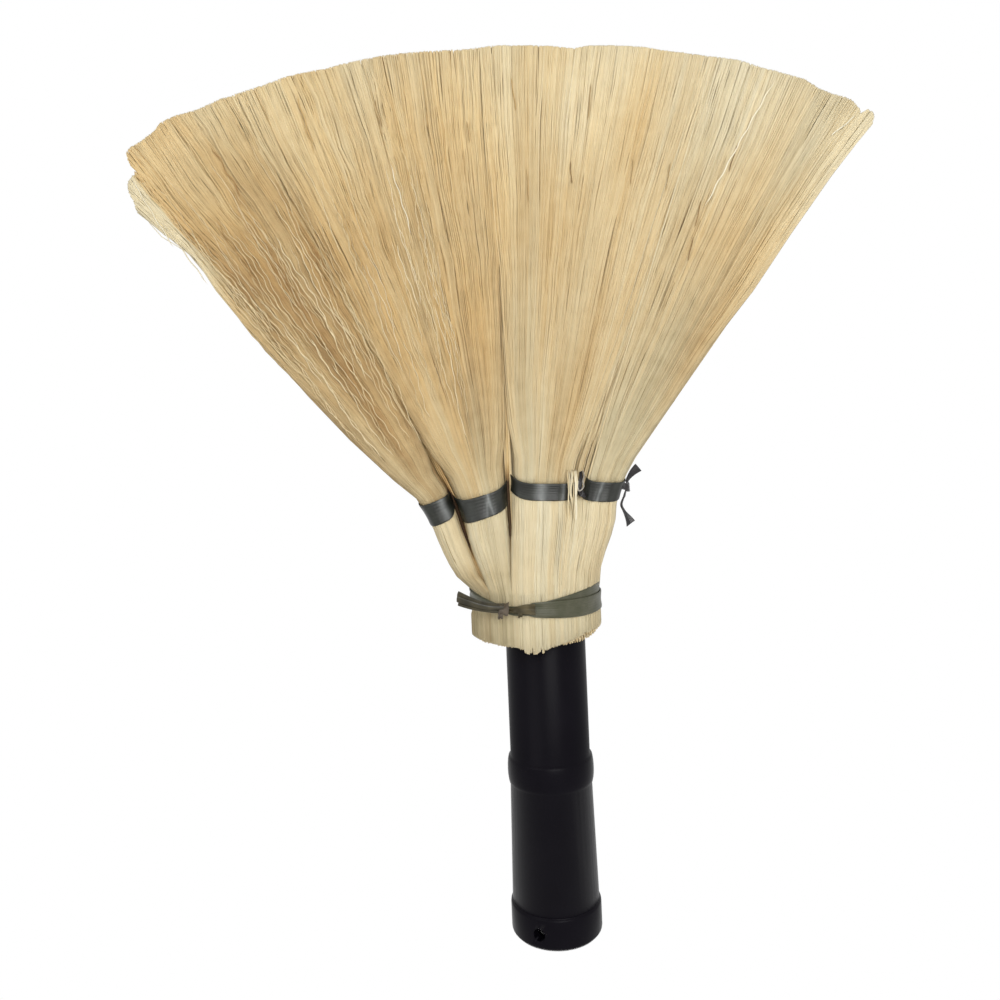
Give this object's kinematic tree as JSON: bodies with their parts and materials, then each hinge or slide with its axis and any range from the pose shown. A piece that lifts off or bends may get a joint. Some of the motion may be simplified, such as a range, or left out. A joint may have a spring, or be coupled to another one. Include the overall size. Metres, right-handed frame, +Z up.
{
  "type": "ceiling broom",
  "caption": "Flat fan-shaped broom head of long straw fibre, tied in a row and strapped round a tubular plastic socket that takes a long pole, for sweeping ceilings.",
  "frame": {"origin": "centre of the socket's open mouth, on the collar's end face, where the pole goes in", "axes": "+Z up the socket's axis from the mouth to the fibre tips, +X to the right across the fan as seen from the front, +Y to the back through the fan's thin side"},
  "size_m": [0.3315, 0.0607, 0.393],
  "materials": {
    "socket_plastic": "moulded black polypropylene, satin",
    "plug_wood": "turned beech, unvarnished",
    "straw_fibre": "dried straw fibre, cream to tan, matte",
    "tie_tape": "dark grey-green polypropylene tape, soft gloss",
    "strap_tape": "olive-grey polypropylene tape, soft gloss"
  },
  "bodies": {
    "root": {"pole_socket": "socket_plastic", "core_plug": "plug_wood", "left_outer_bundle": "straw_fibre", "left_inner_bundle": "straw_fibre", "right_inner_bundle": "straw_fibre", "right_outer_bundle": "straw_fibre", "throat_tie": "tie_tape", "head_strap": "strap_tape"}
  },
  "joints": []
}
